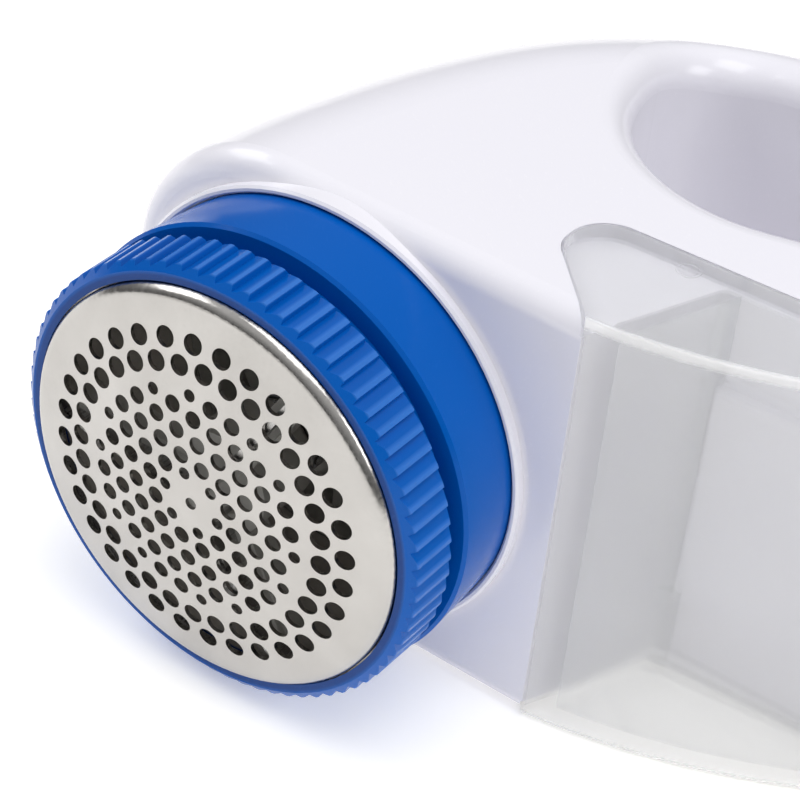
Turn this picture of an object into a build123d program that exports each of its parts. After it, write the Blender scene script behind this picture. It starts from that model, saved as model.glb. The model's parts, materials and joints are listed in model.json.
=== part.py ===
from build123d import *
import os
from math import atan2, cos, degrees, hypot, pi, radians, sin, sqrt, tan

# A hand-held fabric shaver with a loop handle, lying on its flat side. Millimetres.
# Design axes: x runs along the cutter head's axis, from the foil into the body; y points
# to the blunt end above the head; z is up, and z = 0 is the parting plane of the shells.

# ---- body ----
HALF_T = 29.0            # half the thickness of the body, so the body is 58 thick
WALL = 2.2               # wall of the two shells
FRONT_X = 21.8           # flat front face that the blue collar stands on
END_Y = 29.2             # blunt end of the body
TAIL_Y = -105.0          # far end of the loop handle
BACK_X = 104.5           # back of the loop handle
BACK_Y = -50.0           # where the handle reaches furthest back
TAIL_X = 66.0            # where the tail is lowest
EDGE_R = 20.0            # rounding of the blunt end, handle and tail
FRONT_EDGE_R = 3.0       # rounding of the front face's edges
CORNER_Y = -32.3         # corner of the front face where the container begins
TOE_SLOPE = 0.128        # lean of the container's front wall at that corner
TOE_CURVE = 0.0072       # how fast that lean grows towards the tail
SEAM = 0.3               # width and depth of the groove along the parting line

# ---- finger opening ----
GRIP_TOP_Y = -10.5
GRIP_BOTTOM_Y = -84.0
GRIP_BACK_X = 82.5
GRIP_FRONT_X = 44.2      # front wall of the opening, carried up to GRIP_TOP_Y
GRIP_LEAN = 0.3          # lean of that wall
GRIP_EDGE_R = 4.0

# ---- case screws: (x, y) of the bosses, all through the thickness ----
SCREW_AT = [(42.5, 17.0), (70.0, 9.3), (55.0, -80.0), (91.0, -15.5), (84.0, -92.5)]
SCREW_Z = (-8.0, 6.0)    # where the head seats, and the tip
SCREW_R = 1.3
SCREW_HEAD_R = 2.5
BOSS_R = 4.0
WELL_R = 2.9

# ---- lint container and its recess ----
SLIDE_LEAN = 0.0625      # the container slides out towards -y with this lean towards +x
TONGUE_X = 39.6
TONGUE_Y = -22.2
TONGUE_R = (4.3, 5.2)    # rounding of its end, front and back
PLATE = 2.0              # top and bottom plates of the container
CLEAR_WALL = 1.9         # its side walls
CLEAR_EDGE_R = 1.4
FIT_GAP = 0.3
POCKET_CORNER = (39.7, -39.2)
POCKET_R = 1.5
POCKET_WALL = 2.0        # wall of the shells around the recess
REBATE_Z = HALF_T - PLATE - FIT_GAP
PANEL_Z = 15.0           # raised panel on the recess's back wall, above and below z = 0
PANEL_T = 1.2
PANEL_TOP_Y = -41.0
PORT_Y = (-66.5, -58.5)  # lint port through the back wall
PORT_Z = 11.0
TIP_Y = -75.5
EJECTOR_AT = (37.6, -35.6)

# ---- cutter head ----
HOLE_ROW_R = 20.0        # outer row of foil holes
DOME_RISE = 1.74         # crown of the foil above that row
FOIL_T = 0.5
FOIL_R = 25.4
FOIL_SHOULDER_R = 1.5
FOIL_SKIRT_X = 3.7       # back of the foil's flange
FOIL_FLANGE_R = 26.0
MID_ROW_R = 17.12        # second row of holes
ROW_HOLES = 32
LATTICE_PITCH = 3.08     # triangular lattice inside the two rows
LATTICE_TURN = 12.0      # degrees from +y towards +z
LARGE_HOLE_R = 1.25
HOLE_R = 1.05
SMALL_HOLE_R = 0.75
RING_TIP_R = 27.75
RING_ROOT_R = 27.1
RING_X = (2.0, 9.2)
RING_BORE_R = 26.2
RING_LUG_R = 25.5
RING_LUG_X = (7.1, 8.3)
RIBS = 75
COLLAR_X = 11.4
COLLAR_R = (28.0, 27.4)  # front and back radius of the smooth collar
BORE_R = 23.4            # cutting chamber
NECK_X = 4.6
NECK_R = 25.2
NECK_LUG_R = 25.9
NECK_LUG_X = (5.6, 6.9)
SPIGOT_R = 25.3
FLANGE_R = 26.5          # flange behind the shells' front wall
FLANGE_X = 26.4
LIP_R = 28.45            # raised lip of the shells around the collar
LIP_X = 20.6
LIP_T = 0.95
SHELL_HOLE_R = 25.6
LOCK_LUGS = 3

# ---- drive ----
SHAFT_R = 1.5
SHAFT_X = (9.0, 60.2)
RUN_GAP = 0.05
MOTOR_R = 12.0
MOTOR_X = (36.3, 58.3)
FAN_X = (27.2, 33.2)
FAN_R = 21.5
FAN_VANES = 8
HOUSING_X = (26.6, 36.3)
HOUSING_R = 25.0
HOUSING_WALL_X = 33.8    # front of the housing's back wall
MOTOR_WALL_Y = (-19.0, 22.0)
MOTOR_SCREW_R = 1.0
MOTOR_SCREW_Z = 8.0
BUSH_R = 3.0
DUCT_Z = 12.5            # half the duct's inner height
DUCT_END_Y = -68.0
BLADES = 3
BLADE_T = 0.8
BLADE_GAP = 0.25         # from the foil's inner face
BLADE_TIP_R = 22.5
CARRIER_X = (3.2, 12.0)
HUB_R = 6.5
DOG_X = (8.0, 17.0, 22.0)  # front, shoulder and back of the drive dog
HEX_AF = 6.0
FLOAT = 0.8              # axial float of the cutter on its spring

CAN_T = 0.8
CORE_X = (40.5, 51.5)
ARMATURE_R = 9.0
POLE_R = 7.6             # inner radius of the pole tips
NECK_T = 3.2
COMMUTATOR_X = (53.5, 57.0)
COMMUTATOR_R = 2.8
CAP_X = (57.6, 59.1)
TERMINAL_Y = 4.2

# ---- power ----
CELL_R = 7.1
CELL_X = 92.3
CELL_Z = 8.0
CELL_L = 49.3
CELL_NIPPLE = 1.2
CELL_NIPPLE_R = 2.75
CONTACT_T = 0.4
BAY_Y = (-79.1, -25.6)
DOOR_Y = (-74.0, -30.0)
DOOR_Z = 16.5
DOOR_X = 95.0            # the door's cut starts here and goes outwards
LEAD_R = 0.6
LEAD_Z = 1.5             # the two battery leads lie this far above and below z = 0
LEAD_X = 86.0            # where they run beside the boss
LEAD_NOTCH_X = 87.6
SWITCH_AT = 0.555        # place of the switch along the back curve, 0 to 1
SWITCH_TRAVEL = 4.0
SWITCH_POCKET = 1.4      # depth of the pocket that the button slides in
SWITCH_PAD = 3.6         # depth of the thick wall behind it

DOME_R = (HOLE_ROW_R ** 2 + DOME_RISE ** 2) / (2 * DOME_RISE)


# ---------------------------------------------------------------- small helpers
def turned(points):
    """A solid of revolution about the head axis from (x, radius) points."""
    return revolve(make_face(Polyline(*points, close=True)), Axis.X)


def drum(x0, x1, radius, y=0, z=0):
    """A cylinder along x from x0 to x1."""
    return Pos((x0 + x1) / 2, y, z) * Rot(0, 90, 0) * Cylinder(radius, x1 - x0)


def pipe(x0, x1, outer, inner):
    """A tube along x about the head axis."""
    return drum(x0, x1, outer) - drum(x0 - 1, x1 + 1, inner)


def block(x, y, z):
    """A box from three (low, high) pairs."""
    size = [hi - lo for lo, hi in (x, y, z)]
    mid = [(hi + lo) / 2 for lo, hi in (x, y, z)]
    return Pos(*mid) * Box(*size)


def slab(face, z0, z1):
    """A face on z = 0 made into a plate from z0 to z1."""
    return extrude(Pos(0, 0, z0) * face, z1 - z0, dir=(0, 0, 1))


def around(count, solid, start=0.0):
    """Copies of a solid, evenly spaced about the head axis."""
    return [Rot(start + i * 360 / count, 0, 0) * solid for i in range(count)]


def sector(x0, x1, outer, inner, middle_deg, width_deg):
    """Part of a tube about the head axis, middle_deg measured from +y towards +z."""
    ring = pipe(x0, x1, outer, inner)
    far = 2 * outer
    half = radians(width_deg / 2)
    wedge = make_face(Polyline((0, 0), (far, -far * tan(half)), (far, far * tan(half)), close=True))
    solid = extrude(Plane.YZ * wedge, x1 + 1, both=True)
    return ring & (Rot(middle_deg, 0, 0) * solid)


# ---------------------------------------------------------------- body outlines
def front_x(y):
    """Front curve of the container and toe below the front face's corner."""
    run = CORNER_Y - y
    return FRONT_X + TOE_SLOPE * run + TOE_CURVE * run ** 2


def back_curve():
    points = [(FRONT_X, END_Y), (43.2, 26.2), (71.4, 15.8), (92.0, -2.7), (99.0, -16.0), (BACK_X, BACK_Y)]
    return Spline(*points, tangents=[(1, 0), (0, -1)])


def tail_curve():
    points = [(BACK_X, BACK_Y), (102.6, -76.0), (90.5, -97.5), (TAIL_X, TAIL_Y)]
    return Spline(*points, tangents=[(0, -1), (-1, 0)])


def shrunk(curve, inset):
    """The same smooth curve moved to the right of its direction of travel, into the body."""
    if not inset:
        return curve
    points = []
    for i in range(9):
        side = curve.tangent_at(i / 8).rotate(Axis.Z, -90)
        points.append(curve.position_at(i / 8) + side * inset)
    return Spline(*points, tangents=[curve.tangent_at(0), curve.tangent_at(1)])


def rounded_outline(inset):
    """Plan of the blunt end, handle and tail, carried on past the front."""
    top, low = END_Y - inset, TAIL_Y + inset
    end = Line((0, top), (FRONT_X, top))
    bottom = Polyline((TAIL_X, low), (0, low), (0, top))
    return make_face([end, shrunk(back_curve(), inset), shrunk(tail_curve(), inset), bottom])


def front_outline(inset=0.0):
    """Plan of everything behind the front face and the container's front wall, less an inset."""
    lowest = TAIL_Y - 8
    face = FRONT_X + inset
    toe_points = [(face, CORNER_Y)]
    for y in (-50, -70, -90, lowest):
        lean = TOE_SLOPE + 2 * TOE_CURVE * (CORNER_Y - y)
        toe_points.append((front_x(y) + inset * hypot(1, lean), y))
    rest = Polyline(toe_points[-1], (160, lowest), (160, 60), (face, 60), toe_points[0])
    return make_face([Spline(*toe_points), rest])


def grip_outline():
    """Plan of the finger opening."""
    low_x = GRIP_FRONT_X + GRIP_LEAN * (GRIP_TOP_Y - GRIP_BOTTOM_Y)
    corners = [(GRIP_FRONT_X, GRIP_TOP_Y), (GRIP_BACK_X, GRIP_TOP_Y),
               (GRIP_BACK_X, GRIP_BOTTOM_Y), (low_x, GRIP_BOTTOM_Y)]
    return make_face(FilletPolyline(*corners, radius=[21, 10, 9, 7], close=True))


def slide_x(y, start=TONGUE_X):
    """x of a line that starts at the tongue's back corner and runs the way the container slides."""
    return start + SLIDE_LEAN * (TONGUE_Y - y)


def tongue_outline(grow=0.0):
    """Plan of the container's top plate and of its rebate, carried on past the front."""
    x0 = FRONT_X + 0.1 + grow * (1 - sqrt(2))
    y0, y1 = CORNER_Y + grow, TONGUE_Y + grow
    back = TONGUE_X + grow
    corners = [(0, y0), (x0, y0), (x0 + y1 - y0, y1), (back, y1), (slide_x(-84, back), -84), (0, -84)]
    turns = [0.1, 3, TONGUE_R[0] + grow, TONGUE_R[1] + grow, 1, 1]
    return make_face(FilletPolyline(*corners, radius=turns, close=True))


def pocket_outline(side=0.0, back=0.0):
    """Plan of the recess. side and back move its left wall and back wall inwards."""
    cx, cy = POCKET_CORNER
    left = (cy - CORNER_Y) / (cx - FRONT_X)
    length = hypot(1, left)
    drop = side * length
    corner_x = cx - back
    corner_y = cy - drop - left * back
    low_x = corner_x + SLIDE_LEAN * (corner_y + 84)
    start_y = CORNER_Y - drop
    corners = [(0, start_y), (FRONT_X, start_y), (corner_x, corner_y), (low_x, -84), (0, -84)]
    return make_face(FilletPolyline(*corners, radius=[0.01, 1, POCKET_R, 0.01, 0.01], close=True))


def envelope(inset=0.0):
    """The body's outer form with no openings, or the same form shrunk by a wall."""
    half = HALF_T - inset
    shape = slab(rounded_outline(inset), -half, half)
    edges = [e for e in shape.edges() if abs(abs(e.center().Z) - half) < 1e-3]
    shape = fillet([e for e in edges if e.center().X > 1], EDGE_R - inset)
    return shape & slab(front_outline(inset), -half - 1, half + 1)


def at_grip_rim(edge):
    """Whether an edge lies on the rim of the finger opening."""
    middle = edge.center()
    rim = Wire(grip_outline().edges())
    return abs(middle.Z) > HALF_T - 3 and rim.distance_to(Vertex(middle.X, middle.Y, 0)) < 0.3


def at_front(edge):
    """Whether an edge belongs to the front face or the toe."""
    middle = edge.center()
    corner = abs(middle.X - FRONT_X) < 0.1 and abs(middle.Y - CORNER_Y) < 0.1
    return middle.X < front_x(min(middle.Y, CORNER_Y)) + 2.5 and not corner


def soft_front(outer, radius):
    """The closed outer form with the edges of its front rounded."""
    return fillet([e for e in outer.edges() if at_front(e)], radius)


def body_form(outer):
    """The closed body with its soft edges and the finger opening."""
    shape = soft_front(outer, FRONT_EDGE_R)
    shape -= slab(grip_outline(), -HALF_T - 1, HALF_T + 1)
    return fillet([e for e in shape.edges() if at_grip_rim(e)], GRIP_EDGE_R)


# ---------------------------------------------------------------- body
def post(x, y, z0, z1, radius):
    """A cylinder along z."""
    return Pos(x, y, (z0 + z1) / 2) * Cylinder(radius, z1 - z0)


def both_sides(solid):
    """A solid and its mirror image below the parting plane."""
    return [solid, mirror(solid, Plane.XY)]


def collar_lip():
    """Raised lip on the front face around the collar."""
    inner = LIP_R - LIP_T
    bevel = 0.3
    back = FRONT_X + WALL
    return turned([(LIP_X, inner + bevel), (LIP_X, LIP_R - bevel), (LIP_X + bevel, LIP_R),
                   (back, LIP_R), (back, inner), (LIP_X + bevel, inner)])


def recess():
    """What the container's place takes out of the body, with the lint port."""
    rebates = both_sides(slab(tongue_outline(), REBATE_Z, HALF_T + 1))
    pocket = slab(pocket_outline(), -HALF_T, HALF_T)
    panel = slab(pocket_outline() - pocket_outline(back=PANEL_T), -PANEL_Z, PANEL_Z)
    panel &= block((0, 60), (-100, PANEL_TOP_Y), (-PANEL_Z, PANEL_Z))
    port = block((POCKET_CORNER[0] - 4, POCKET_CORNER[0] + 5), PORT_Y, (-PORT_Z, PORT_Z))
    return pocket - panel + rebates + port


def switch_place():
    """Plane on the shoulder: x along the outline away from the head, y outwards, z up."""
    curve = back_curve()
    return Plane(curve.position_at(SWITCH_AT), x_dir=curve.tangent_at(SWITCH_AT), z_dir=(0, 0, 1))


def on_shoulder(x, y, z):
    """A box in the axes of switch_place."""
    return switch_place() * block(x, y, z)


def bay_walls():
    """Walls across the handle at the two ends of the cells, notched for the leads."""
    low, high = BAY_Y
    front = block((GRIP_BACK_X, 110), (high, high + WALL), (-HALF_T, HALF_T))
    back = block((GRIP_BACK_X, 110), (low - WALL, low), (-HALF_T, HALF_T))
    notch_z = LEAD_Z + 1.5
    notch = block((GRIP_BACK_X, LEAD_NOTCH_X), (high - 1, high + WALL + 1), (-notch_z, notch_z))
    return front - notch + back


def motor_wall():
    """Wall across the body behind the fan housing, around the motor."""
    plate = block((HOUSING_X[1] + 0.2, HOUSING_X[1] + 0.2 + WALL), MOTOR_WALL_Y, (-HALF_T, HALF_T))
    return plate - drum(HOUSING_X[1] - 1, MOTOR_X[1], MOTOR_R + FIT_GAP)


def cavity():
    """The hollow inside both shells, less the bosses, walls and pads that stand in it."""
    ledge = REBATE_Z - WALL
    space = envelope(WALL) - slab(offset(grip_outline(), WALL), -HALF_T, HALF_T)
    space -= slab(pocket_outline(side=-POCKET_WALL, back=-POCKET_WALL), -HALF_T, HALF_T)
    space -= both_sides(slab(tongue_outline(POCKET_WALL), ledge, HALF_T))
    space -= [post(x, y, -HALF_T, HALF_T, BOSS_R) for x, y in SCREW_AT]
    space -= [bay_walls(), motor_wall(), on_shoulder((-9, 9), (-SWITCH_PAD, 1), (-7, 7))]
    return space


def screw_wells():
    """Wells and holes for the case screws, from the underside."""
    cuts = []
    for x, y in SCREW_AT:
        cuts.append(post(x, y, -HALF_T - 1, SCREW_Z[0], WELL_R))
        cuts.append(post(x, y, SCREW_Z[0] - 1, 0, SCREW_R + 0.2))
        cuts.append(post(x, y, 0, SCREW_Z[1], SCREW_R))
    return cuts


def parting_groove():
    """The fine groove where the two shells meet."""
    core = slab(rounded_outline(SEAM) & front_outline(SEAM), -1, 1)
    return block((FRONT_X + 1, 120), (-120, 60), (-SEAM / 2, SEAM / 2)) - core


def door_blank(gap):
    """Space of the battery door through the back wall of the handle."""
    y0, y1 = DOOR_Y
    return block((DOOR_X, 110), (y0 + gap, y1 - gap), (-DOOR_Z + gap, DOOR_Z - gap))


def shells(form, hollow):
    """Upper and lower shell of the body."""
    body = form + collar_lip()
    head_hole = drum(LIP_X - 1, FRONT_X + WALL + 0.1, SHELL_HOLE_R)
    thumb_pocket = on_shoulder((-7, 7), (-SWITCH_POCKET, 3), (-5.3, 5.3))
    stem_slot = on_shoulder((-3.9, 3.9), (-SWITCH_PAD - 1, 0), (-1.8, 1.8))
    cuts = [recess(), hollow, head_hole, door_blank(0), thumb_pocket, stem_slot, parting_groove()]
    for cut in cuts + screw_wells():
        body -= cut
    upper = split(body, bisect_by=Plane.XY, keep=Keep.TOP)
    return upper, split(body, bisect_by=Plane.XY, keep=Keep.BOTTOM)


def battery_door(form):
    """The door is cut from the same wall, with ridges for the thumb."""
    door = (form - envelope(WALL)) & door_blank(0.25)
    x0 = BACK_X - 1
    ridges = [block((x0, BACK_X + 0.7), (y, y + 1), (-8, 8)) for y in (-60, -57, -54, -51, -48, -45)]
    return door + ridges


# ---------------------------------------------------------------- lint container
def lint_container(outer):
    """Clear, open at the back, with a flush plate on each flat side."""
    plates = both_sides(slab(tongue_outline(-FIT_GAP) & front_outline(), HALF_T - PLATE, HALF_T))
    front = front_outline()
    narrow = pocket_outline(side=FIT_GAP, back=PANEL_T + FIT_GAP) & front
    wide = pocket_outline(side=FIT_GAP, back=FIT_GAP) & front
    tub = slab(narrow, -HALF_T + 1, HALF_T - 1)
    tub += both_sides(slab(wide, PANEL_Z + FIT_GAP, HALF_T - 1))
    inside = pocket_outline(side=FIT_GAP + CLEAR_WALL, back=-5)
    inside &= Pos(CLEAR_WALL + 0.1, 0, 0) * front
    solid = (tub + plates) & soft_front(outer, CLEAR_EDGE_R)
    solid -= slab(inside, -HALF_T + PLATE, HALF_T - PLATE)
    mark_x, mark_y = EJECTOR_AT
    mark = post(mark_x, mark_y, HALF_T - 0.15, HALF_T + 1, 1.5)
    mark -= post(mark_x, mark_y, HALF_T - 1, HALF_T + 1, 1.1)
    return solid - mark - block((0, 60), (-100, TIP_Y), (-HALF_T, HALF_T))


# ---------------------------------------------------------------- cutting head
def dome_x(radius, depth=0.0):
    """x of the foil's crown at a radius, or of a surface that far behind it."""
    return DOME_R - DOME_RISE - sqrt((DOME_R - depth) ** 2 - radius ** 2)


def crowned(radius, depth, back):
    """A drum whose front is the foil's shallow crown, or a surface that far behind it."""
    top, rim = (dome_x(0, depth), 0), (dome_x(radius, depth), radius)
    crown = ThreePointArc(top, (dome_x(radius / 2, depth), radius / 2), rim)
    return revolve(make_face([crown, Polyline(rim, (back, radius), (back, 0), top)]), Axis.X)


def cap(radius, shoulder):
    """Solid form of the foil at one radius, with its rounded shoulder."""
    depth = FOIL_R - radius
    solid = crowned(radius, depth, FOIL_SKIRT_X)
    rim_x = dome_x(radius, depth)
    rim = [e for e in solid.edges() if e.length > radius and abs(e.arc_center.X - rim_x) < 0.1]
    return fillet(rim, shoulder)


def foil_holes():
    """Two outer rows, a triangular lattice inside them, and small holes at its middle and corners."""
    spots = []
    for row_r, start in ((HOLE_ROW_R, 4.6), (MID_ROW_R, -1.0)):
        spots += [(row_r, start + i * 360 / ROW_HOLES, LARGE_HOLE_R) for i in range(ROW_HOLES)]
    for i in range(-5, 6):
        for j in range(-5, 6):
            steps = i * i + i * j + j * j
            if 3 <= steps <= 19:
                angle = degrees(atan2(j * sqrt(3) / 2, i + j / 2)) + LATTICE_TURN
                spots.append((LATTICE_PITCH * sqrt(steps), angle, HOLE_R))
    spots.append((0, 0, SMALL_HOLE_R))
    for k in range(6):
        middle = LATTICE_TURN + 60 * k
        spots.append((1.25 * LATTICE_PITCH, middle, SMALL_HOLE_R))
        spots += [(4.51 * LATTICE_PITCH, middle + side, SMALL_HOLE_R) for side in (-11, 11)]
    return [drum(-4, 2, size, r * cos(radians(a)), r * sin(radians(a))) for r, a, size in spots]


def foil():
    """Perforated cap with a flange that the lock ring holds."""
    flange = pipe(FOIL_SKIRT_X - FOIL_T, FOIL_SKIRT_X, FOIL_FLANGE_R, FOIL_R - FOIL_T)
    shell = cap(FOIL_R, FOIL_SHOULDER_R) - cap(FOIL_R - FOIL_T, FOIL_SHOULDER_R - FOIL_T)
    return shell + flange - foil_holes()


def foil_retainer():
    x0 = FOIL_SKIRT_X + 0.05
    return pipe(x0, x0 + 0.6, FOIL_FLANGE_R, 24.4)


def ring_lugs(x0, x1, outer, inner, width_deg):
    """Evenly spaced bayonet lugs."""
    return [sector(x0, x1, outer, inner, 60 + i * 360 / LOCK_LUGS, width_deg) for i in range(LOCK_LUGS)]


def lock_ring():
    """Ring with sawtooth ribs outside, and inside a lip for the foil and three lugs."""
    front, back = RING_X
    teeth = []
    for i in range(RIBS):
        for radius, share in ((RING_ROOT_R, 0.0), (RING_TIP_R, 0.7), (RING_TIP_R, 0.9)):
            a = 2 * pi * (i + share) / RIBS
            teeth.append((radius * cos(a), radius * sin(a)))
    ribbed = extrude(Plane.YZ.offset(front) * make_face(Polyline(*teeth, close=True)), back - front)
    tip = RING_TIP_R
    form = turned([(front, 0), (front, tip - 1.1), (front + 0.9, tip + 0.1), (back - 0.4, tip + 0.1),
                   (back, tip - 0.5), (back, 0)])
    lip_x = FOIL_SKIRT_X - FOIL_T - 0.05
    ring = (ribbed & form) - drum(front - 1, lip_x + 1, FOIL_R + 0.15)
    ring -= drum(lip_x, back + 1, RING_BORE_R)
    return ring + ring_lugs(*RING_LUG_X, RING_BORE_R + 0.2, RING_LUG_R, 30)


def head_collar():
    """Smooth blue collar with the neck for the lock ring, clamped in the shells' front wall."""
    wide, narrow = COLLAR_R
    face = FRONT_X
    wall = FRONT_X + WALL
    bevel = 0.4
    solid = turned([(NECK_X, BORE_R), (NECK_X, NECK_R), (COLLAR_X, NECK_R), (COLLAR_X, wide - bevel),
                    (COLLAR_X + bevel, wide), (face, narrow - 0.1), (face, SPIGOT_R), (wall, SPIGOT_R),
                    (wall, FLANGE_R), (FLANGE_X, FLANGE_R), (FLANGE_X, BORE_R)])
    return solid + ring_lugs(*NECK_LUG_X, NECK_LUG_R, NECK_R - 0.2, 40)


# ---------------------------------------------------------------- cutter and rotor
def hexagon(x0, x1, across_flats):
    plan = Plane.YZ.offset(x0) * RegularPolygon(across_flats / sqrt(3), 6)
    return extrude(plan, x1 - x0)


def blades():
    """Thin steel blades whose front edges follow the foil."""
    strip = block((-3, CARRIER_X[0] + 2), (3, BLADE_TIP_R), (-BLADE_T / 2, BLADE_T / 2))
    front = crowned(BLADE_TIP_R, FOIL_T + BLADE_GAP, CARRIER_X[1])
    return [blade & front for blade in around(BLADES, strip)]


def blade_carrier():
    """Hub with an arm under each blade and a hexagonal socket for the drive dog."""
    x0, x1 = CARRIER_X
    arm = block((x0, x0 + 3.5), (0, BLADE_TIP_R - 1.5), (-1.6, 1.6))
    foot = block((x0 - 0.8, x0 + 1), (3.5, BLADE_TIP_R - 2.5), (-1.2, 1.2))
    slot = block((x0 - 2, x0 + 2), (3, BLADE_TIP_R), (-BLADE_T / 2, BLADE_T / 2))
    solid = drum(x0, x1, HUB_R) + around(BLADES, arm) + around(BLADES, foot)
    return solid - around(BLADES, slot) - hexagon(DOG_X[0] - 1.0, x1 + 1, HEX_AF + 0.3)


def drive_dog():
    """Hexagonal driver on the shaft, with a shoulder for the blade spring."""
    front, shoulder, back = DOG_X
    solid = hexagon(front, shoulder, HEX_AF) + drum(shoulder, shoulder + 1.5, 6) + drum(shoulder, back, 4)
    return solid - drum(SHAFT_X[0], back + 1, SHAFT_R)


def coil(radius, wire, turns, length):
    """A helical spring standing on the XY plane."""
    path = Helix(pitch=(length - 2 * wire) / turns, height=length - 2 * wire, radius=radius)
    start = Plane(origin=path.position_at(0), z_dir=path.tangent_at(0))
    return Pos(0, 0, wire) * sweep(start * Circle(wire), path)


def blade_spring():
    x0 = CARRIER_X[1] + FLOAT + 0.1
    return Pos(x0, 0, 0) * Rot(0, 90, 0) * coil(5.0, 0.3, 3, DOG_X[1] - x0)


def drive_shaft():
    return drum(*SHAFT_X, SHAFT_R)


def suction_fan():
    """Radial fan behind the cutting chamber."""
    x0, x1 = FAN_X
    vane = block((x0, x1 - 1), (4, FAN_R - 0.5), (-0.6, 0.6))
    solid = drum(x0 - 3, x1, 5) + drum(x1 - 1.2, x1, FAN_R) + around(FAN_VANES, vane)
    return solid - drum(x0 - 4, x1 + 1, SHAFT_R)


# ---------------------------------------------------------------- fan housing, duct and motor
def fan_housing():
    """Scroll around the fan, with the motor screwed to its back wall."""
    x0, x1 = HOUSING_X
    solid = drum(x0, x1, HOUSING_R) - drum(x0 - 1, HOUSING_WALL_X, HOUSING_R - 1.6)
    solid -= [drum(x0, x1 + 1, BUSH_R + 0.2), block((27.4, 33.0), (-30, -20), (-DUCT_Z, DUCT_Z))]
    for side in (-1, 1):
        solid -= drum(HOUSING_WALL_X - 1, x1 + 1, MOTOR_SCREW_R, 0, side * MOTOR_SCREW_Z)
        solid -= drum(HOUSING_WALL_X - 1, HOUSING_WALL_X + 1.2, 2.0, 0, side * MOTOR_SCREW_Z)
    return solid


def motor_screws():
    head = HOUSING_WALL_X + 1.2
    screws = []
    for side in (-1, 1):
        z = side * MOTOR_SCREW_Z
        thread = drum(head, MOTOR_X[0] + 2, MOTOR_SCREW_R, 0, z)
        screws.append(drum(HOUSING_WALL_X + 0.1, head, 2.0, 0, z) + thread)
    return screws


def lint_duct(hollow):
    """Flat duct from the fan housing to the port behind the container."""
    path = FilletPolyline((30.2, -18), (30.2, -28.3), (45.6, -35.0), (47.2, DUCT_END_Y), radius=[4.5, 8])
    outer = slab(trace(path, 6.8), -DUCT_Z - 1.2, DUCT_Z + 1.2)
    inner = slab(trace(path, 4.6), -DUCT_Z, DUCT_Z)
    reach = POCKET_CORNER[0] + POCKET_WALL + 0.5
    spout_y = (DUCT_END_Y, PORT_Y[1] + 2)
    outer += block((reach, 48), spout_y, (-DUCT_Z - 1.2, DUCT_Z + 1.2))
    bore = block((reach - 3, 48), PORT_Y, (-PORT_Z, PORT_Z))
    duct = (outer - drum(*HOUSING_X, HOUSING_R)) & hollow
    return duct - inner - bore


def motor_can():
    x0, x1 = MOTOR_X
    can = drum(x0, x1, MOTOR_R) - drum(x0 + CAN_T, x1 + 1, MOTOR_R - CAN_T) - drum(x0 - 1, x0 + 2, BUSH_R)
    return can - [drum(x0 - 1, x0 + 2, MOTOR_SCREW_R, 0, side * MOTOR_SCREW_Z) for side in (-1, 1)]


def motor_magnets():
    outer = MOTOR_R - CAN_T
    x0, x1 = CORE_X
    return [sector(x0 - 1, x1 + 1, outer, ARMATURE_R + 0.7, middle, 130) for middle in (90, 270)]


def armature_core():
    """Three laminated poles on the shaft."""
    x0, x1 = CORE_X
    poles = []
    for i in range(3):
        poles.append(sector(x0, x1, ARMATURE_R, POLE_R, i * 120, 100))
    necks = around(3, block((x0, x1), (0, POLE_R + 0.5), (-NECK_T / 2, NECK_T / 2)))
    return drum(x0, x1, 3) + poles + necks - drum(x0 - 1, x1 + 1, SHAFT_R)


def armature_windings():
    x0, x1 = CORE_X
    bundle = block((x0 - 1.3, x1 + 1.3), (3.2, 6.7), (-3.4, 3.4))
    return around(3, bundle - block((x0, x1), (0, 9), (-NECK_T / 2, NECK_T / 2)))


def commutator():
    x0, x1 = COMMUTATOR_X
    slit = block((x0 - 1, x1 + 1), (2.2, 4), (-0.15, 0.15))
    return drum(x0, x1, COMMUTATOR_R) - drum(x0 - 1, x1 + 1, SHAFT_R) - around(3, slit, 60)


def motor_brushes():
    """Two carbon brushes on leaf springs that stand on the end cap."""
    x0 = COMMUTATOR_X[0] + 0.9
    carbon = block((x0, x0 + 1.6), (-1, 1), (COMMUTATOR_R + 0.1, 4.2))
    leaf = block((x0, CAP_X[0]), (-1, 1), (4.2, 4.6))
    return both_sides(carbon + leaf)


def motor_end_cap():
    x0, x1 = CAP_X
    cap = drum(x0, MOTOR_X[1], MOTOR_R - CAN_T) + drum(MOTOR_X[1], x1, MOTOR_R)
    return cap - drum(x0 - 1, x1 + 1, BUSH_R)


def motor_bushes():
    """Front bush in the can, rear bush in the end cap."""
    x0, x1 = MOTOR_X
    bore = SHAFT_R + RUN_GAP
    return [pipe(x0 - 0.8, x0 + 2.2, BUSH_R, bore), pipe(x1 - 1, x1 + 1.7, BUSH_R, bore)]


def motor_terminals():
    x0 = CAP_X[1]
    return [block((x0, x0 + 3), (y - 0.9, y + 0.9), (z - 0.25, z + 0.25))
            for y, z in ((TERMINAL_Y, LEAD_Z), (-TERMINAL_Y, -LEAD_Z))]


# ---------------------------------------------------------------- power
def rod(y0, y1, radius, z):
    """A cylinder along y on the line of the cells."""
    return Pos(CELL_X, (y0 + y1) / 2, z) * Rot(90, 0, 0) * Cylinder(radius, y1 - y0)


def battery_cells():
    """Two cells side by side, pointing opposite ways."""
    low, high = BAY_Y[0] + CONTACT_T, BAY_Y[1] - CONTACT_T
    top = high - CELL_NIPPLE
    bottom = low + CELL_NIPPLE
    upper = rod(top - CELL_L, top, CELL_R, CELL_Z) + rod(top, high, CELL_NIPPLE_R, CELL_Z)
    lower = rod(bottom, bottom + CELL_L, CELL_R, -CELL_Z) + rod(low, bottom, CELL_NIPPLE_R, -CELL_Z)
    return [upper, lower]


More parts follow.
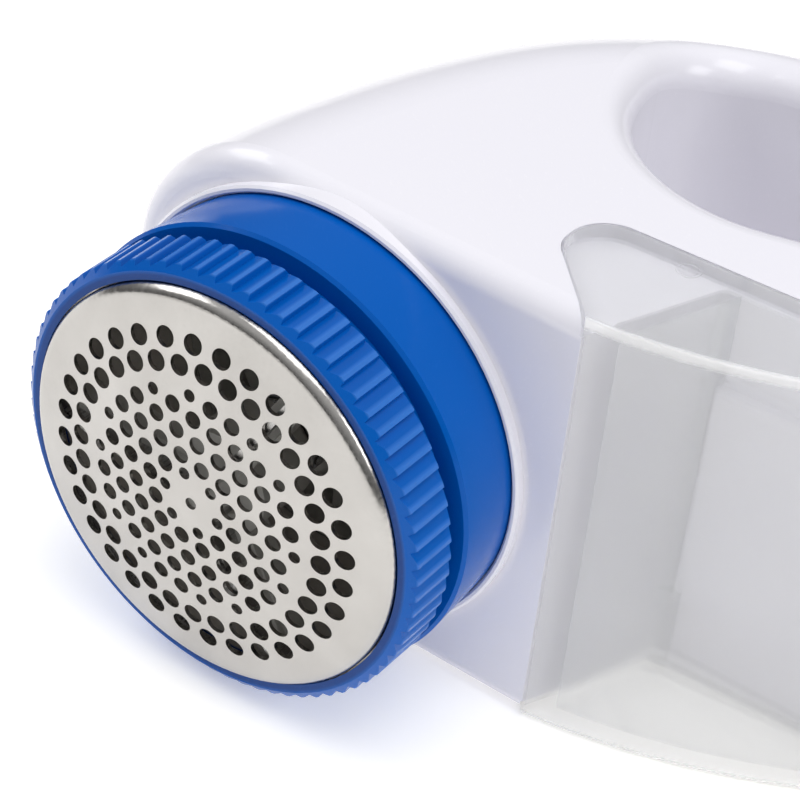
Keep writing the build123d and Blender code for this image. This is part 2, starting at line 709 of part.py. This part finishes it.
def battery_contacts():
    """Two plates at the head end, with tabs for the leads, and a bridge at the tail end."""
    front = (BAY_Y[1] - CONTACT_T, BAY_Y[1])
    x0, x1 = CELL_X - 5.5, CELL_X + 5.5
    plate = block((x0, x1), front, (2.5, 13.5)) + block((LEAD_X - 1, x0 + 1), front, (LEAD_Z - 1, 5))
    bridge = block((x0, x1), (BAY_Y[0], BAY_Y[0] + CONTACT_T), (-13.5, 13.5))
    return both_sides(plate) + [bridge]


def battery_springs():
    """A coil behind the flat end of each cell."""
    low, high = BAY_Y[0] + CONTACT_T, BAY_Y[1] - CONTACT_T
    length = high - low - CELL_L - CELL_NIPPLE
    spring = Rot(-90, 0, 0) * coil(3.0, 0.22, 2, length)
    return [Pos(CELL_X, low, CELL_Z) * spring, Pos(CELL_X, high - length, -CELL_Z) * spring]


def switch_button():
    """Ribbed thumb slide with a stem through the wall; at rest it is away from the head."""
    x0 = SWITCH_TRAVEL / 2
    button = on_shoulder((x0 - 4.5, x0 + 4.5), (-SWITCH_POCKET + 0.1, 0.9), (-5.0, 5.0))
    ribs = []
    for i in range(-2, 3):
        x = x0 + i * 1.6
        ribs.append(on_shoulder((x - 0.4, x + 0.4), (0.8, 1.4), (-4.4, 4.4)))
    stem = on_shoulder((x0 - 1.5, x0 + 1.5), (-SWITCH_PAD - 2.4, -SWITCH_POCKET + 0.2), (-1.5, 1.5))
    return button + ribs + stem


def switch_body():
    """Slide switch on the back of the pad, with a slot for the button's stem."""
    y1 = -SWITCH_PAD
    slot = on_shoulder((-3.9, 3.9), (y1 - 2.8, y1 + 1), (-1.8, 1.8))
    return on_shoulder((-6, 6), (y1 - 8, y1), (-4, 4)) - slot


def switch_terminals():
    y1 = -SWITCH_PAD - 8
    return [on_shoulder((x - 0.5, x + 0.5), (y1 - 2.4, y1), (LEAD_Z - 1, LEAD_Z + 1)) for x in (-3, 3)]


def lead(points, z):
    """An insulated lead along (x, y) points at one height."""
    path = FilletPolyline(*[(x, y, z) for x, y in points], radius=2)
    start = Plane(origin=path.position_at(0), z_dir=path.tangent_at(0))
    return sweep(start * Circle(LEAD_R), path)


def leads():
    """Motor to switch, switch to the upper cell, and motor to the lower cell."""
    place = switch_place()
    tab_y = -SWITCH_PAD - 9.4
    near = [place.from_local_coords((x, tab_y, 0)) for x in (-8, -3.5)]
    far = [place.from_local_coords((x, tab_y, 0)) for x in (3.5, 8)]
    motor_x = CAP_X[1] + 3.2
    to_switch = [(motor_x, TERMINAL_Y), (69, 2.2)] + [(p.X, p.Y) for p in near]
    to_cell = [(p.X, p.Y) for p in far] + [(LEAD_X, -16.2), (LEAD_X, BAY_Y[1])]
    back = [(motor_x, -TERMINAL_Y), (70, -5.2), (77.8, -6.4), (82.6, -11.4), (LEAD_X, -17),
            (LEAD_X, BAY_Y[1])]
    return [lead(to_switch, LEAD_Z), lead(to_cell, LEAD_Z)], lead(back, -LEAD_Z)


def case_screws():
    """Five pan-head screws from the underside."""
    seat, tip = SCREW_Z
    screws = []
    for x, y in SCREW_AT:
        cross = [Pos(x, y, seat - 1.6) * Rot(0, 0, turn) * Box(3, 0.7, 1.4) for turn in (0, 90)]
        head = post(x, y, seat - 1.8, seat, SCREW_HEAD_R) - cross
        screws.append(head + post(x, y, seat, tip, SCREW_R))
    return screws


# ---------------------------------------------------------------- the whole object
def build():
    """Every sub-part by name, in the design axes."""
    outer = envelope()
    form = body_form(outer)
    hollow = cavity()
    upper_shell, lower_shell = shells(form, hollow)
    positive_leads, negative_lead = leads()
    return {
        "upper_shell": upper_shell,
        "lower_shell": lower_shell,
        "battery_door": battery_door(form),
        "lint_container": lint_container(outer),
        "lint_duct": lint_duct(hollow),
        "head_collar": head_collar(),
        "lock_ring": lock_ring(),
        "foil": foil(),
        "foil_retainer": foil_retainer(),
        "blades": blades(),
        "blade_carrier": blade_carrier(),
        "blade_spring": blade_spring(),
        "drive_dog": drive_dog(),
        "drive_shaft": drive_shaft(),
        "suction_fan": suction_fan(),
        "fan_housing": fan_housing(),
        "motor_can": motor_can(),
        "motor_magnets": motor_magnets(),
        "armature_core": armature_core(),
        "armature_windings": armature_windings(),
        "commutator": commutator(),
        "motor_brushes": motor_brushes(),
        "motor_end_cap": motor_end_cap(),
        "motor_bushes": motor_bushes(),
        "motor_terminals": motor_terminals(),
        "motor_screws": motor_screws(),
        "battery_cells": battery_cells(),
        "battery_contacts": battery_contacts(),
        "battery_springs": battery_springs(),
        "switch_button": switch_button(),
        "switch_body": switch_body(),
        "switch_terminals": switch_terminals(),
        "positive_leads": positive_leads,
        "negative_lead": negative_lead,
        "case_screws": case_screws(),
    }


def main():
    os.makedirs("parts", exist_ok=True)
    nodes = {}
    for name, shape in build().items():
        solids = shape if isinstance(shape, list) else [shape]
        nodes[name] = Compound([s for shape in solids for s in shape.solids()])
    box = Compound(list(nodes.values())).bounding_box()
    middle = box.center()
    to_row = Pos(-middle.X, -middle.Y, -box.min.Z)
    print("design origin in the row frame:", -middle.X, -middle.Y, -box.min.Z, "size:", box.size)
    for name, shape in nodes.items():
        export_step(to_row * shape, f"parts/{name}.step")


if __name__ == "__main__":
    main()
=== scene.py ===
import json

import bpy
from mathutils import Matrix, Vector

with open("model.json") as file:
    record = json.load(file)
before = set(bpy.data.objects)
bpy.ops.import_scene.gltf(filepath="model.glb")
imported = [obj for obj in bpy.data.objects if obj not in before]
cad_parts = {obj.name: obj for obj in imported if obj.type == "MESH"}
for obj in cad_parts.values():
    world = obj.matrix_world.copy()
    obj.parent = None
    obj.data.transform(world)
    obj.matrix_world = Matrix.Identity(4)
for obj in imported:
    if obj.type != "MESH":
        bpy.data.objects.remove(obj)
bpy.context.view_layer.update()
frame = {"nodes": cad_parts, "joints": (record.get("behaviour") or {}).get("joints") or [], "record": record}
scene = bpy.context.scene
nodes = frame["nodes"]

# Lengths are in metres unless a line says otherwise.
# The head's axis runs along +X through this point; the foil faces -X.
HEAD = Vector(next(j["pos_m"] for j in frame["joints"] if j["name"] == "rotor_spin"))

# The photograph's view, from above and in front of the head.
VIEW_RIGHT = Vector((0.5889, -0.8031, 0.0911)).normalized()
VIEW_FORWARD = Vector((0.6687, 0.4209, -0.6129)).normalized()
CAMERA_FROM_HEAD = Vector((-0.1899, -0.1440, 0.2008))
FOCAL_LENGTH_MM = 126.1
SENSOR_MM = 36

# Each soft box: its place, its two sides and its power in watts. All face one point.
SOFT_BOXES = {
    "key": ((-0.1, -0.12, 0.9), (0.6, 0.6), 2.8),
    "fill": ((0.05, -0.7, 0.5), (0.4, 0.4), 1.8),
    "back": ((-0.1, 0.6, 0.5), (0.5, 0.3), 1.6),
}
LIGHT_TARGET = Vector((0, 0, 0.03))
# The sky's grey at the horizon and overhead. It is as bright as overhead from a direction whose
# Z is SKY_FULL_AT.
SKY_LEVEL = 0.1
SKY_ABOVE = 1.0
SKY_FULL_AT = 0.75
SKY_STRENGTH = 0.6

FLOOR_REACH = 3.0
FLOOR_GLOW = 0.36

# Distances from the head's axis between which a colour changes; these colours are painted light and shade.
# Painted light: inside these distances the collar's bore turns light warm grey, standing in for light
# reaching in through the foil holes.
COLLAR_PAINTED_LIGHT = (0.0246, 0.0242)
# Painted highlight: outside these distances the ring's rib tips turn a lighter blue.
RIB_TIP_PAINTED_HIGHLIGHT = (0.02755, 0.02785)
# Painted shade: inside these distances the ring turns dark navy.
RING_PAINTED_SHADE = (0.0266, 0.0262)


# ---------------------------------------------------------------- camera, floor and light
def make_camera():
    """Close view of the head, matched to the photograph."""
    up = VIEW_RIGHT.cross(VIEW_FORWARD).normalized()
    data = bpy.data.cameras.new("camera")
    data.lens = FOCAL_LENGTH_MM
    data.sensor_width = SENSOR_MM
    data.clip_start = 0.01
    camera = bpy.data.objects.new("camera", data)
    basis = Matrix((VIEW_RIGHT, up, -VIEW_FORWARD)).transposed()
    camera.matrix_world = Matrix.Translation(HEAD + CAMERA_FROM_HEAD) @ basis.to_4x4()
    scene.collection.objects.link(camera)
    scene.camera = camera


def area_light(name, place, size, power):
    """A rectangular soft box aimed at the middle of the object."""
    data = bpy.data.lights.new(name, "AREA")
    data.shape = "RECTANGLE"
    data.size, data.size_y = size
    data.energy = power
    light = bpy.data.objects.new(name, data)
    light.location = place
    light.rotation_euler = (LIGHT_TARGET - Vector(place)).to_track_quat("-Z", "Y").to_euler()
    scene.collection.objects.link(light)


def make_light():
    """A white room that is dim at floor level, and three soft boxes."""
    world = bpy.data.worlds.new("studio")
    scene.world = world
    world.use_nodes = True
    tree = world.node_tree
    background = tree.nodes["Background"]
    direction = tree.nodes.new("ShaderNodeTexCoord")
    split = tree.nodes.new("ShaderNodeSeparateXYZ")
    ramp = tree.nodes.new("ShaderNodeValToRGB")
    low, high = ramp.color_ramp.elements
    low.position, low.color = 0.0, (SKY_LEVEL, SKY_LEVEL, SKY_LEVEL, 1)
    high.position, high.color = SKY_FULL_AT, (SKY_ABOVE, SKY_ABOVE, SKY_ABOVE, 1)
    tree.links.new(direction.outputs["Generated"], split.inputs["Vector"])
    tree.links.new(split.outputs["Z"], ramp.inputs["Fac"])
    tree.links.new(ramp.outputs["Color"], background.inputs["Color"])
    background.inputs["Strength"].default_value = SKY_STRENGTH
    scene.view_settings.view_transform = "Standard"
    for name, (place, size, power) in SOFT_BOXES.items():
        area_light(name, place, size, power)


def make_floor():
    """Plain white paper, a little self-lit so that shadows stay faint."""
    mesh = bpy.data.meshes.new("floor")
    signs = ((-1, -1), (1, -1), (1, 1), (-1, 1))
    corners = [(x * FLOOR_REACH, y * FLOOR_REACH, 0) for x, y in signs]
    mesh.from_pydata(corners, [], [(0, 1, 2, 3)])
    floor = bpy.data.objects.new("floor", mesh)
    scene.collection.objects.link(floor)
    material = bpy.data.materials.new("floor_paper")
    material.use_nodes = True
    shader = material.node_tree.nodes["Principled BSDF"]
    shader.inputs["Base Color"].default_value = (0.93, 0.925, 0.91, 1)
    shader.inputs["Roughness"].default_value = 0.75
    shader.inputs["Emission Color"].default_value = (1.0, 0.985, 0.95, 1)
    shader.inputs["Emission Strength"].default_value = FLOOR_GLOW
    mesh.materials.append(material)


# ---------------------------------------------------------------- material helpers
class Recipe:
    """A node material built on one Principled shader, with textures in object space."""

    def __init__(self, name, roughness=0.3, metallic=0.0, **sockets):
        self.material = bpy.data.materials.new(name)
        self.material.use_nodes = True
        self.tree = self.material.node_tree
        self.shader = self.tree.nodes["Principled BSDF"]
        self.set(Roughness=roughness, Metallic=metallic, **sockets)
        self.coordinates = self.tree.nodes.new("ShaderNodeTexCoord")
        self.place = self.coordinates.outputs["Object"]
        self.normal = None

    def set(self, **sockets):
        """Constant values on the shader; an underscore stands for a space."""
        for name, value in sockets.items():
            self.shader.inputs[name.replace("_", " ")].default_value = value

    def link(self, output, node, socket):
        self.tree.links.new(output, node.inputs[socket])

    def stretched(self, scale, turn=(0, 0, 0)):
        """Object coordinates, turned and scaled."""
        mapping = self.tree.nodes.new("ShaderNodeMapping")
        mapping.vector_type = "TEXTURE"
        mapping.inputs["Rotation"].default_value = turn
        mapping.inputs["Scale"].default_value = scale
        self.link(self.place, mapping, "Vector")
        return mapping.outputs["Vector"]

    def noise(self, size, detail=3.0, vector=None):
        """Noise with features of about this size."""
        node = self.tree.nodes.new("ShaderNodeTexNoise")
        node.inputs["Scale"].default_value = 1.0 / size
        node.inputs["Detail"].default_value = detail
        self.link(vector or self.place, node, "Vector")
        return node.outputs["Fac"]

    def mapped(self, value, low, high, start=0.3, end=0.7):
        """The value carried from start..end to low..high, and held outside that."""
        node = self.tree.nodes.new("ShaderNodeMapRange")
        node.inputs["From Min"].default_value = start
        node.inputs["From Max"].default_value = end
        node.inputs["To Min"].default_value = low
        node.inputs["To Max"].default_value = high
        self.link(value, node, "Value")
        return node.outputs["Result"]

    def blend(self, factor, first, second):
        """Mix of two colours, each a tuple or another node's output."""
        node = self.tree.nodes.new("ShaderNodeMix")
        node.data_type = "RGBA"
        self.link(factor, node, "Factor")
        for name, value in (("A", first), ("B", second)):
            socket = next(s for s in node.inputs if s.name == name and s.type == "RGBA")
            if isinstance(value, tuple):
                socket.default_value = (*value, 1)
            else:
                self.tree.links.new(value, socket)
        return next(s for s in node.outputs if s.type == "RGBA")

    def from_axis(self):
        """Distance from the head's axis."""
        shift = self.tree.nodes.new("ShaderNodeVectorMath")
        shift.operation = "SUBTRACT"
        self.link(self.place, shift, 0)
        shift.inputs[1].default_value = HEAD
        flat = self.tree.nodes.new("ShaderNodeVectorMath")
        flat.operation = "MULTIPLY"
        self.link(shift.outputs["Vector"], flat, 0)
        flat.inputs[1].default_value = (0, 1, 1)
        length = self.tree.nodes.new("ShaderNodeVectorMath")
        length.operation = "LENGTH"
        self.link(flat.outputs["Vector"], length, 0)
        return length.outputs["Value"]

    def math(self, operation, first, second=None):
        node = self.tree.nodes.new("ShaderNodeMath")
        node.operation = operation
        self.link(first, node, 0)
        if second:
            self.link(second, node, 1)
        return node.outputs["Value"]

    def slanted(self):
        """1 on rounded edges between an upright and a level face, 0 on those faces."""
        split = self.tree.nodes.new("ShaderNodeSeparateXYZ")
        self.link(self.coordinates.outputs["Normal"], split, "Vector")
        tilt = self.math("ABSOLUTE", split.outputs["Z"])
        off_upright = self.mapped(tilt, 0, 1, 0.1, 0.45)
        off_level = self.mapped(tilt, 1, 0, 0.8, 0.98)
        return self.math("MULTIPLY", off_upright, off_level)

    def colour(self, value):
        self.tree.links.new(value, self.shader.inputs["Base Color"])

    def roughness(self, value):
        self.tree.links.new(value, self.shader.inputs["Roughness"])

    def bump(self, height, depth):
        """Adds relief of about this depth on top of any relief so far."""
        node = self.tree.nodes.new("ShaderNodeBump")
        node.inputs["Strength"].default_value = 1.0
        node.inputs["Distance"].default_value = depth
        self.link(height, node, "Height")
        if self.normal:
            self.link(self.normal, node, "Normal")
        self.normal = node.outputs["Normal"]
        self.link(self.normal, self.shader, "Normal")


def moulded(name, light, dark, roughness, grain=0.0012, depth=6e-7, bands=(), **sockets):
    """Moulded plastic: slight colour drift, fine grain, uneven gloss and hair-fine scuffs.

    Each band is a pair of distances from the head's axis and the colour reached between them; the bands in
    this script are painted light, painted highlight and painted shade.
    """
    recipe = Recipe(name, roughness, **sockets)
    body = recipe.blend(recipe.mapped(recipe.noise(0.05, 1), 0, 1), light, dark)
    for (start, end), colour in bands:
        body = recipe.blend(recipe.mapped(recipe.from_axis(), 0, 1, start, end), body, colour)
    scuffs = recipe.noise(1.0, 5, recipe.stretched((0.012, 0.00025, 0.0005), (0.3, 0.5, 0.9)))
    worn = tuple(min(1.0, c * 1.12 + 0.02) for c in light)
    recipe.colour(recipe.blend(recipe.mapped(scuffs, 0, 0.25, 0.6, 0.8), body, worn))
    recipe.roughness(recipe.mapped(recipe.noise(0.009, 3), roughness * 0.9, roughness * 1.12))
    recipe.bump(recipe.noise(grain, 2), depth)
    return recipe.material


def metal(name, light, dark, roughness, scratch=(0.02, 0.0003, 0.0003), depth=3e-6, **sockets):
    """Metal with directional scratches and patchy gloss; scratch is one scratch's three sides."""
    recipe = Recipe(name, roughness, 1.0, **sockets)
    recipe.colour(recipe.blend(recipe.mapped(recipe.noise(0.008, 3), 0, 1), light, dark))
    lines = recipe.noise(1.0, 4, recipe.stretched(scratch))
    recipe.roughness(recipe.mapped(lines, roughness * 0.7, roughness * 1.4))
    recipe.bump(lines, depth)
    return recipe.material


def clear_plastic(name):
    """Clear moulded styrene, faintly cloudy, with a painted highlight along its rounded edges, which are
    whiter and less clear.
    """
    recipe = Recipe(name, 0.1, Alpha=0.72, IOR=1.08, Coat_Weight=1.0, Coat_Roughness=0.06)
    cloud = recipe.mapped(recipe.noise(0.015, 2), 0, 1)
    body = recipe.blend(cloud, (0.97, 0.975, 0.98), (0.95, 0.955, 0.96))
    # Painted highlight: the rounded edges turn white and less clear.
    edge_painted_highlight = recipe.slanted()
    recipe.colour(recipe.blend(edge_painted_highlight, body, (1.0, 1.0, 1.0)))
    recipe.link(recipe.mapped(edge_painted_highlight, 0.82, 0.2, 0, 1), recipe.shader, "Transmission Weight")
    recipe.roughness(recipe.mapped(recipe.noise(0.008, 2), 0.09, 0.13))
    recipe.bump(recipe.noise(0.01, 1), 2e-5)
    return recipe.material


def make_materials():
    """The material of each slot in the record."""
    return {
        "white_shell": moulded("white_shell", (0.845, 0.835, 0.9), (0.835, 0.825, 0.89), 0.24,
                               Coat_Weight=0.2),
        "blue_collar": moulded("blue_collar", (0.0, 0.1, 0.46), (0.0, 0.094, 0.43), 0.2,
                               # The light warm grey inside the collar's bore is painted light.
                               bands=[(COLLAR_PAINTED_LIGHT, (0.6, 0.57, 0.53))],
                               Specular_IOR_Level=0.12),
        "blue_ring": moulded("blue_ring", (0.0, 0.1, 0.46), (0.0, 0.092, 0.43), 0.2,
                             # The lighter blue on the rib tips is a painted highlight.
                             bands=[(RIB_TIP_PAINTED_HIGHLIGHT, (0.05, 0.2, 0.62)),
                                    # The dark navy inside the ring is painted shade.
                                    (RING_PAINTED_SHADE, (0.0, 0.05, 0.26))],
                             Specular_IOR_Level=0.2),
        "blue_button": moulded("blue_button", (0.001, 0.105, 0.44), (0.001, 0.095, 0.41), 0.23),
        "foil_steel": metal("foil_steel", (0.52, 0.505, 0.49), (0.46, 0.445, 0.43), 0.19,
                            scratch=(0.03, 0.0004, 0.0004), depth=1e-6),
        "clear_plastic": clear_plastic("clear_plastic"),
        "inner_plastic": moulded("inner_plastic", (0.6, 0.59, 0.56), (0.52, 0.51, 0.48), 0.45),
        "black_plastic": moulded("black_plastic", (0.085, 0.08, 0.072), (0.07, 0.065, 0.06), 0.45),
        "blade_steel": metal("blade_steel", (0.5, 0.5, 0.5), (0.4, 0.39, 0.38), 0.3),
        "shaft_steel": metal("shaft_steel", (0.55, 0.55, 0.56), (0.45, 0.45, 0.46), 0.25),
        "spring_steel": metal("spring_steel", (0.5, 0.5, 0.51), (0.4, 0.4, 0.41), 0.3),
        "motor_steel": metal("motor_steel", (0.6, 0.6, 0.58), (0.5, 0.5, 0.48), 0.38),
        "screw_steel": metal("screw_steel", (0.5, 0.49, 0.46), (0.4, 0.39, 0.37), 0.35),
        "magnet": moulded("magnet", (0.05, 0.05, 0.055), (0.035, 0.035, 0.04), 0.6),
        "carbon": moulded("carbon", (0.03, 0.03, 0.03), (0.02, 0.02, 0.02), 0.7),
        "bronze": metal("bronze", (0.5, 0.36, 0.18), (0.4, 0.28, 0.14), 0.4),
        "copper_wire": metal("copper_wire", (0.6, 0.25, 0.1), (0.5, 0.18, 0.07), 0.3),
        "contact_metal": metal("contact_metal", (0.7, 0.66, 0.55), (0.6, 0.56, 0.46), 0.3),
        "cell_jacket": moulded("cell_jacket", (0.05, 0.2, 0.11), (0.04, 0.16, 0.09), 0.3),
        "red_lead": moulded("red_lead", (0.45, 0.02, 0.02), (0.38, 0.015, 0.015), 0.4),
        "black_lead": moulded("black_lead", (0.02, 0.02, 0.02), (0.012, 0.012, 0.012), 0.4),
    }


def paint_nodes(materials):
    """Gives every CAD node the material of its slot."""
    for part in frame["record"]["subparts"]:
        nodes[part["node"]].material_slots[0].material = materials[part["material_slot"]]


make_camera()
make_floor()
make_light()
paint_nodes(make_materials())
